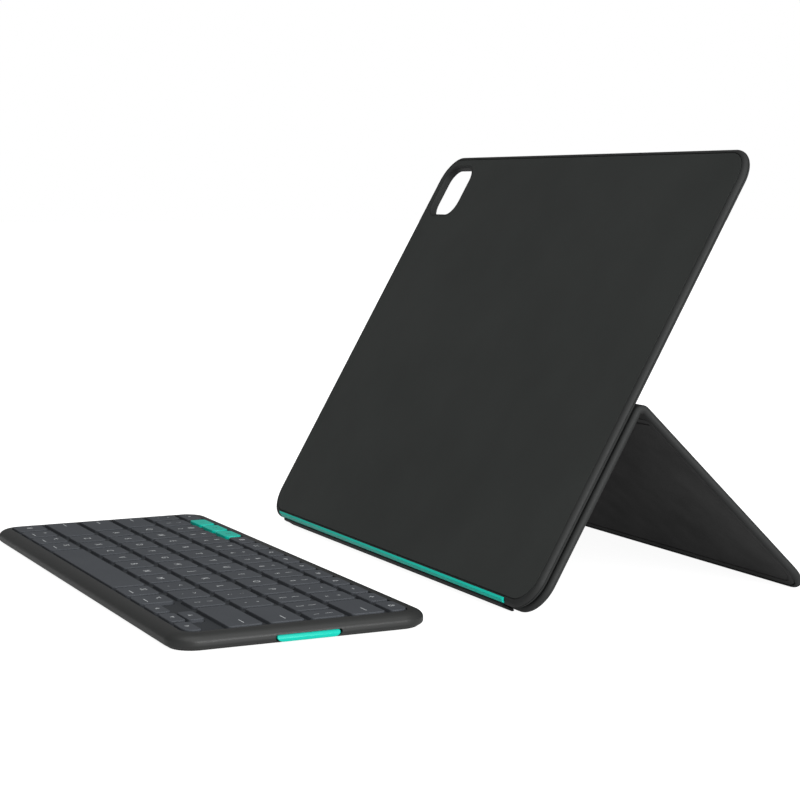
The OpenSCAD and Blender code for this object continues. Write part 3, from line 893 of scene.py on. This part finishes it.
def stroke(form, x0, y0, x1, y1, z, width, skin):
    """A thin printed bar between two points, as a closed flat solid."""
    way = Vector((x1 - x0, y1 - y0))
    side = Vector((-way.y, way.x)).normalized() * width / 2
    outline = [
        (x0 - side.x, y0 - side.y), (x1 - side.x, y1 - side.y),
        (x1 + side.x, y1 + side.y), (x0 + side.x, y0 + side.y),
    ]
    low, high = form.level(outline, z - MARK_T), form.level(outline, z + MARK_T)
    form.band(low, high, skin)
    form.cap(low, skin=skin)
    form.cap(high, skin=skin)


def circle_strokes(x, y, r, n=10):
    points = [
        (x + r * math.cos(2 * math.pi * i / n), y + r * math.sin(2 * math.pi * i / n))
        for i in range(n + 1)
    ]
    return [(*a, *b) for a, b in zip(points, points[1:])]


def filled(points, steps=5):
    """Strokes that fill a triangle from its base to its tip."""
    (ax, ay), (bx, by), (cx, cy) = points
    lines = []
    for i in range(steps):
        t = i / steps
        lines.append((
            ax + (cx - ax) * t, ay + (cy - ay) * t, bx + (cx - bx) * t, by + (cy - by) * t
        ))
    return lines


ICONS = {
    "dash": [(-2.9, 0, 2.9, 0)],
    "dot": circle_strokes(0, 0, 0.45, 8),
    "ring": circle_strokes(0, 0, 1.3) + [(-1.3, 0, 1.3, 0), (0, -1.3, 0, 1.3)],
    "grid": [(x, y - 0.35, x, y + 0.35) for x in (-1.2, 0, 1.2) for y in (-0.7, 0.7)],
    "search": circle_strokes(-0.3, 0.3, 0.85) + [(0.35, -0.35, 1.2, -1.2)],
    "back": [(-1.6, 0, 1.6, 0), (-1.6, 0, -0.5, 1.0), (-1.6, 0, -0.5, -1.0)],
    "play": [(-0.8, -1, -0.8, 1), (-0.8, 1, 0.9, 0), (0.9, 0, -0.8, -1)],
    "next": [(-1.3, -0.9, 0, 0), (0, 0, -1.3, 0.9), (0, -0.9, 1.3, 0), (1.3, 0, 0, 0.9)],
    "mute": [(-1, -0.5, -1, 0.5), (-1, 0.5, 0.3, 1.2), (0.3, 1.2, 0.3, -1.2), (0.3, -1.2, -1, -0.5)],
    "less": [(-1.2, 0, 1.2, 0)],
    "more": [(-1.2, 0, 1.2, 0), (0, -1.2, 0, 1.2)],
    "lock": [(-1, -1.1, 1, -1.1), (1, -1.1, 1, 0.2), (1, 0.2, -1, 0.2), (-1, 0.2, -1, -1.1)]
    + [(-0.6, 0.2, -0.6, 1.1), (-0.6, 1.1, 0.6, 1.1), (0.6, 1.1, 0.6, 0.2)],
    "caret": [(-1.1, -0.5, 0, 0.6), (0, 0.6, 1.1, -0.5)],
    "step": [(-1.4, 0.8, -0.6, 0.8), (-0.6, 0.8, 0.6, -0.8), (0.6, -0.8, 1.4, -0.8)]
    + [(0.3, 0.8, 1.4, 0.8)],
    "loop": circle_strokes(-0.8, 0.8, 0.42, 8) + circle_strokes(0.8, 0.8, 0.42, 8)
    + circle_strokes(-0.8, -0.8, 0.42, 8) + circle_strokes(0.8, -0.8, 0.42, 8)
    + [(-0.4, 0.8, -0.4, -0.8), (0.4, 0.8, 0.4, -0.8), (-0.8, 0.4, 0.8, 0.4)]
    + [(-0.8, -0.4, 0.8, -0.4)],
    "left_head": filled([(0.7, -1), (0.7, 1), (-0.9, 0)]),
    "right_head": filled([(-0.7, -1), (-0.7, 1), (0.9, 0)]),
    "up_head": filled([(-1, -0.7), (1, -0.7), (0, 0.9)]),
    "down_head": filled([(-1, 0.7), (1, 0.7), (0, -0.9)]),
}

GLYPHS = {}


def glyph(text):
    """One printed character as a thin closed solid, its middle at the origin, 1 unit high."""
    if text not in GLYPHS:
        curve = bpy.data.curves.new("glyph", "FONT")
        curve.body = text
        curve.resolution_u = 3
        curve.extrude = 0.5
        source = bpy.data.objects.new("glyph", curve)
        scene.collection.objects.link(source)
        graph = bpy.context.evaluated_depsgraph_get()
        mesh = bpy.data.meshes.new_from_object(source.evaluated_get(graph))
        xs = [v.co.x for v in mesh.vertices]
        ys = [v.co.y for v in mesh.vertices]
        mx, my = (min(xs) + max(xs)) / 2, (min(ys) + max(ys)) / 2
        points = [(v.co.x - mx, v.co.y - my, v.co.z) for v in mesh.vertices]
        GLYPHS[text] = (points, [list(p.vertices) for p in mesh.polygons])
        bpy.data.objects.remove(source)
        bpy.data.curves.remove(curve)
        bpy.data.meshes.remove(mesh)
    return GLYPHS[text]


LETTER_SIZE = 4.6
SMALL_SIZE = 3.5
MARK_LIFT = 0.006
WIDE_INSET = 7.3
WIDE_RISE = 0.6
PAIR_SHIFT = 1.5
PAIR_RISE = 3.2
TWIN_RISE = 2.7


def print_mark(form, mark, x, y, size=1):
    """Prints an icon at its own size, or a character at the size given."""
    z = KEY_TOP + MARK_LIFT
    if mark in ICONS:
        for x0, y0, x1, y1 in ICONS[mark]:
            stroke(form, x + x0, y + y0, x + x1, y + y1, z, STROKE, 1)
        return
    points, faces = glyph(mark)
    form.add(
        [(x + px * size, y + py * size, z + pz * 2 * MARK_T) for px, py, pz in points], faces, 1
    )


def print_key(form, key):
    """Wide keys carry a dash near their outer end, the others one or two marks."""
    marks = key.marks
    if marks == ["dash"]:
        side = 1 if key.x > 0 else -1
        print_mark(form, "dash", key.x + side * (key.w / 2 - WIDE_INSET), key.y + WIDE_RISE)
    elif len(marks) == 1:
        small = key.d < KEY_H
        print_mark(form, marks[0], key.x, key.y, SMALL_SIZE if small else LETTER_SIZE)
    elif len(marks) == 2 and marks[0] == "dash":
        print_mark(form, "dash", key.x + PAIR_SHIFT, key.y - PAIR_RISE)
        print_mark(form, marks[1], key.x - PAIR_SHIFT, key.y + PAIR_RISE)
    elif len(marks) == 2:
        print_mark(form, marks[0], key.x, key.y - TWIN_RISE, SMALL_SIZE)
        print_mark(form, marks[1], key.x, key.y + TWIN_RISE, SMALL_SIZE)


def keycap(form, key):
    draft = 0.14
    edge = 0.32
    wall_top = KEY_TOP - edge
    roof = KEY_TOP - KEY_ROOF
    outer = [
        form.level(key.outline(-KEY_ROOF), roof),
        form.level(key.outline(-KEY_ROOF), KEY_LOW),
        form.level(key.outline(-0.06), KEY_LOW),
        form.level(key.outline(0), KEY_LOW + 0.06),
        form.level(key.outline(-draft), wall_top),
    ]
    outer += [
        form.level(key.outline(-draft - edge * (1 - c)), wall_top + edge * s)
        for s, c in quarter(4, 1)
    ]
    outer.append(form.level(key.outline(-draft - edge - 0.25), KEY_TOP))
    # the underside and side walls up to the top's rounding take skin 2, the darker copy of the key
    # plastic painted as shade
    form.stack(outer[:5], 2)
    form.stack(outer[4:])
    form.cap(outer[0], skin=2)
    form.cap(outer[-1])
    print_key(form, key)


def key_pieces():
    behaviour = frame["record"]["behaviour"]["bodies"]
    body_of = {node: body for body, nodes in behaviour.items() for node in nodes}
    for node in sorted({key.node for key in KEYS}):
        form = Form()
        for key in KEYS:
            if key.node == node:
                keycap(form, key)
        paired = node.startswith("key_pair")
        slot = "teal_plastic" if paired else "key_plastic"
        materials = [MATERIALS[slot]]
        # plain keys: print, then the darker key plastic painted as shade on the side walls
        materials += [PRINT_DARK, MATERIALS[slot]] if paired else [PRINT, KEY_SIDE_SHADE]
        piece(form, node + "_cap", ON_KEYBOARD, slot, body_of[node], [node], materials)


def kb_outline(inset):
    return round_box(KB_W - 2 * inset, KB_D - 2 * inset, KB_CORNER - inset, 12)


def well_outline(grow):
    w, d = FIELD_W + 2 * (WELL_MARGIN + grow), FIELD_D + 2 * (WELL_MARGIN + grow)
    return round_box(w, d, KEY_OUTER_R + WELL_MARGIN + grow, 12)


RIM_RUN = 5.0
RIM_RISE = 3.4
RIM_LOW = 1.6
SLIDER_LOW = 0.9
SLIDER_HIGH = 3.8
SLIDER_WAIST = 2.9
SLIDER_FOOT_CUT = 2.6
SLIDER_TOP_CUT = 0.7


def slider_half(z):
    """Half the slider's length at a height: its lower corners are cut in long curves."""
    if z < SLIDER_WAIST:
        t = (SLIDER_WAIST - z) / (SLIDER_WAIST - SLIDER_LOW)
        return SLIDER_LEN / 2 - SLIDER_FOOT_CUT * (1 - math.sqrt(max(0, 1 - t * t)))
    t = (z - SLIDER_WAIST) / (SLIDER_HIGH - SLIDER_WAIST)
    return SLIDER_LEN / 2 - SLIDER_TOP_CUT * (1 - math.sqrt(max(0, 1 - t * t)))


def slot_cutter():
    """The slider's slot in the right side, a little wider than the slider and its travel."""
    form = Form()
    play, steps = 0.1, 20
    gap = SLIDER_TRAVEL / 2 + play
    side = []
    for i in range(steps + 1):
        share = (1 - math.cos(math.pi * i / steps)) / 2
        z = SLIDER_LOW + (SLIDER_HIGH - SLIDER_LOW) * share
        side.append((gap + slider_half(z), z + play * (2 * share - 1)))
    outline = side + [(-y, z) for y, z in side[::-1]]
    rings = [
        form.ring([(KB_W / 2 + x, SLIDER_Y + y, z) for y, z in outline]) for x in (-3.0, 1.5)
    ]
    form.close(rings)
    return form


def keyboard_frame():
    form = Form()
    belt = FLOOR_Z + RIM_LOW
    top = RIM_TOP
    cavity = round_box(KB_W - 2 * KB_WALL, KB_D - 2 * KB_WALL, KB_CORNER - KB_WALL, 12)
    lip = 0.26
    rings = [form.level(cavity, WEB_LOW), form.level(cavity, FLOOR_Z)]
    rings += [
        form.level(kb_outline(RIM_LOW - RIM_LOW * s), belt - RIM_LOW * c) for s, c in quarter(8)
    ]
    rings += [
        form.level(kb_outline(RIM_RUN - RIM_RUN * c), top - RIM_RISE + RIM_RISE * s)
        for s, c in quarter(14)
    ]
    rings += [
        form.level(well_outline(lip - lip * s), top - lip + lip * c) for s, c in quarter(4)
    ]
    rings.append(form.level(well_outline(0), WEB_TOP))
    form.stack(rings[:-1])
    form.band(rings[-2], rings[-1], 1)
    top_holes = [form.level(key.outline(KEY_SLACK), WEB_TOP) for key in KEYS]
    low_holes = [form.level(key.outline(KEY_SLACK), WEB_LOW) for key in KEYS]
    for a, b in zip(top_holes, low_holes):
        form.band(a, b, 1)
    form.cap(rings[-1], top_holes, 1)
    form.cap(rings[0], low_holes)
    made = piece(
        form, "keyboard_top", ON_KEYBOARD, "keyboard_casing", "keyboard", ["keyboard_frame"],
        [MATERIALS["keyboard_casing"], WELL],
    )
    cut(made, slot_cutter(), ON_KEYBOARD)
    return made


BAY_X = -60.0
DOOR_W = 88.0
DOOR_D = 25.0
DOOR_R = 3.0
DOOR_GAP = 0.2
SCREW_R = 0.75
HEAD_R = 1.6
HEAD_Z = FEET_T + 0.45
SCREWS = [
    (x, side * (KB_D / 2 - 4.5))
    for x in (-KB_W / 2 + KB_CORNER + 6, 0, KB_W / 2 - KB_CORNER - 6)
    for side in (-1, 1)
]
DOOR_SCREW = (BAY_X + DOOR_W / 2 - 3.2, 9.0)


def screw_well(form, x, y):
    """A counterbored hole; returns its lowest and highest ring."""
    wide, narrow = round_box(2 * HEAD_R, 2 * HEAD_R, HEAD_R, 6, x, y), SCREW_R
    small = round_box(2 * narrow, 2 * narrow, narrow, 6, x, y)
    rings = [form.level(wide, FEET_T), form.level(wide, HEAD_Z)]
    rings += [form.level(small, HEAD_Z), form.level(small, FLOOR_Z)]
    return form.stack(rings)


def keyboard_base():
    form = Form()
    edge = 0.72
    inset = 1.9
    rings = [
        form.level(kb_outline(inset + edge - edge * s), FEET_T + edge - edge * c)
        for s, c in quarter(6)
    ]
    rings.append(form.level(kb_outline(inset + 0.08), FLOOR_Z))
    form.stack(rings)
    door = [
        form.level(round_box(DOOR_W + 2 * g, DOOR_D + 2 * g, DOOR_R + g, 6, BAY_X), z)
        for g, z in ((0.15, FEET_T), (0, FEET_T + 0.15), (0, FLOOR_Z))
    ]
    form.stack(door)
    wells = [screw_well(form, x, y) for x, y in SCREWS]
    form.cap(rings[0], [door[0]] + [low for low, _ in wells])
    form.cap(rings[-1], [door[-1]] + [high for _, high in wells])
    made = piece(
        form, "keyboard_bottom", ON_KEYBOARD, "keyboard_casing", "keyboard", ["keyboard_base"]
    )
    cut(made, slot_cutter(), ON_KEYBOARD)
    return made


def battery_door():
    """The door, with three shallow finger grooves beside its screw."""
    form = Form()
    edge = 0.18

    def outline(grow):
        w, d = DOOR_W - 2 * DOOR_GAP + 2 * grow, DOOR_D - 2 * DOOR_GAP + 2 * grow
        return round_box(w, d, DOOR_R - DOOR_GAP + grow, 6, BAY_X)

    rings = [
        form.level(outline(-edge * s), FEET_T + edge - edge * c)
        for s, c in reversed(quarter(3))
    ]
    rings.append(form.level(outline(0), FLOOR_Z))
    form.stack(rings)
    low, high = screw_well(form, *DOOR_SCREW)
    grooves = []
    for i in range(3):
        x = BAY_X - DOOR_W / 2 + 7 + 2.2 * i
        levels = ((0.0, FEET_T), (-0.2, FEET_T + 0.3))
        groove = [
            form.level(round_box(1.2 + 2 * g, 12 + 2 * g, 0.6 + g, 4, x), z) for g, z in levels
        ]
        form.stack(groove)
        form.cap(groove[1])
        grooves.append(groove[0])
    form.cap(rings[0], [low] + grooves)
    form.cap(rings[-1], [high])
    return piece(
        form, "battery_cover", ON_KEYBOARD, "keyboard_casing", "keyboard", ["battery_door"]
    )


def rubber_feet():
    form = Form()
    edge = 0.25
    for x in (-92, 92):
        for y in (-1, 1):
            place = (x, y * (KB_D / 2 - 10))
            rings = [
                form.level(round_box(24 - 2 * g, 4 - 2 * g, 2 - g, 8, *place), z)
                for g, z in [(edge - edge * s, edge - edge * c) for s, c in quarter(4)]
            ]
            rings.append(form.level(round_box(24, 4, 2, 8, *place), FEET_T))
            form.close(rings)
    return piece(form, "desk_feet", ON_KEYBOARD, "foot_rubber", "keyboard", ["rubber_feet"])


def power_slider():
    """The slider's cap, a rounded bar with a ridge along it, and the tongue behind it."""
    low, high, ridge = SLIDER_LOW, SLIDER_HIGH, 2.3
    depth, edge, steps = 1.6, 0.22, 20
    lean_above, lean_below = 0.62, 0.12
    tongue = (2.4, 3.0, 0.8)

    def face(z):
        above, below = max(0, z - ridge), max(0, ridge - z)
        lean_in = lean_above * above / (high - ridge) + lean_below * below / (ridge - low)
        rim = edge - min(edge, z - low, high - z)
        return KB_W / 2 - lean_in - edge + math.sqrt(edge * edge - rim * rim)

    heights = [
        low + (high - low) * (1 - math.cos(math.pi * i / steps)) / 2 for i in range(steps + 1)
    ]
    profile = [(z, face(z)) for z in heights] + [(z, KB_W / 2 - depth) for z in heights[::-1]]
    form = swept(
        profile, lambda z: (SLIDER_Y - slider_half(z), SLIDER_Y + slider_half(z)), edge
    )
    x = KB_W / 2 - depth - tongue[0]
    inner = [
        form.level(round_box(tongue[1], tongue[2], 0.2, 3, SLIDER_Y, 2.6), x + tongue[0] * i)
        for i in (0, 1)
    ]
    form.close(inner)
    # the form's axes are (along the side, up, outwards)
    sideways = Matrix(((0, 0, 1, 0), (1, 0, 0, 0), (0, 1, 0, 0), (0, 0, 0, 1)))
    return piece(
        form, "slider_cap", ON_KEYBOARD @ sideways, "teal_plastic", "slider", ["power_slider"]
    )


# ---------- the scene ----------


def dress_cad_nodes():
    """Every CAD node that stays in sight gets the material of its slot."""
    for part in frame["record"]["subparts"]:
        node = frame["nodes"][part["node"]]
        node.data.materials.clear()
        node.data.materials.append(MATERIALS[part["material_slot"]])


def seen_as(nodes, links, lighting, seen):
    """One value for lighting the set, another for what the camera sees directly."""
    path = nodes.new("ShaderNodeLightPath")
    value = nodes.new("ShaderNodeMapRange")
    value.inputs["To Min"].default_value = lighting
    value.inputs["To Max"].default_value = seen
    links.new(path.outputs["Is Camera Ray"], value.inputs["Value"])
    return value.outputs["Result"]


def add_floor():
    form = Form()
    half = 9000
    form.cap(form.level(round_box(2 * half, 2 * half, half * 0.9, 16), 0))
    material, nodes, links, shader, place = new_material("floor")
    broad = noise(nodes, links, place, 3, 2)
    links.new(
        tint(nodes, links, broad, (0.45, 0.45, 0.45), 0.01), shader.inputs["Base Color"]
    )
    shader.inputs["Emission Color"].default_value = (1, 1, 1, 1)
    links.new(seen_as(nodes, links, 0.2, 0.93), shader.inputs["Emission Strength"])
    shader.inputs["Roughness"].default_value = 0.9
    shader.inputs["Specular IOR Level"].default_value = 0.1
    form.make("floor", Matrix.Identity(4), [material])


def place_light(light, place, target):
    lamp = bpy.data.objects.new(light.name, light)
    way = Vector(target) - Vector(place)
    turn = way.to_track_quat("-Z", "Y").to_matrix().to_4x4()
    lamp.matrix_world = Matrix.Translation(place) @ turn
    scene.collection.objects.link(lamp)


def add_softbox(name, place, target, size, power):
    light = bpy.data.lights.new(name, "AREA")
    light.shape = "RECTANGLE"
    light.size, light.size_y = size
    light.energy = power
    place_light(light, place, target)


def add_overhead(place, power, spread_angle):
    light = bpy.data.lights.new("overhead", "SUN")
    light.energy = power
    light.angle = math.radians(spread_angle)
    place_light(light, place, (0, 0, 0))


def add_world(ambient):
    """A white backdrop that lights the set only this much."""
    world = bpy.data.worlds.new("studio")
    world.use_nodes = True
    nodes, links = world.node_tree.nodes, world.node_tree.links
    links.new(seen_as(nodes, links, ambient, 1), nodes["Background"].inputs["Strength"])
    nodes["Background"].inputs["Color"].default_value = (1, 1, 1, 1)
    scene.world = world


def add_lights():
    scene.view_settings.view_transform = "Standard"
    add_world(0.22)
    add_overhead((0.5, -0.1, 1.0), 2.2, 70)
    add_softbox("camera_side", (1.4, 0.15, 0.25), (0, 0, 0.06), (0.9, 0.35), 16)


dress_cad_nodes()
add_floor()
add_lights()

piece(panel_shell(), "panel_body", ON_SLOPE, "graphite_edge", "panel", ["panel_shell"])
piece(panel_face(), "panel_front_sheet", ON_SLOPE, "graphite_face", "panel", ["panel_face"])
piece(accent_strip(), "accent_bar", ON_SLOPE, "teal_plastic", "panel", ["accent_strip"])
piece(spine_strip(), "spine_bar", ON_SLOPE, "spine_elastomer", "spine", ["spine_strip"])
piece(leaf_skin(COVER_LEN), "cover_leaf", ON_COVER, "graphite_edge", "cover", ["cover_skin"])
piece(leaf_lining(COVER_LEN), "cover_lining", ON_COVER, "dark_lining", "cover", ["cover_liner"])
piece(leaf_skin(FLAP_LEN), "flap_leaf", ON_FLAP, "graphite_edge", "stand_flap", ["flap_skin"])
piece(leaf_lining(FLAP_LEN), "flap_lining", ON_FLAP, "dark_lining", "stand_flap", ["flap_liner"])
fold()
keyboard_frame()
keyboard_base()
battery_door()
rubber_feet()
power_slider()
hinge_skins()
key_pieces()
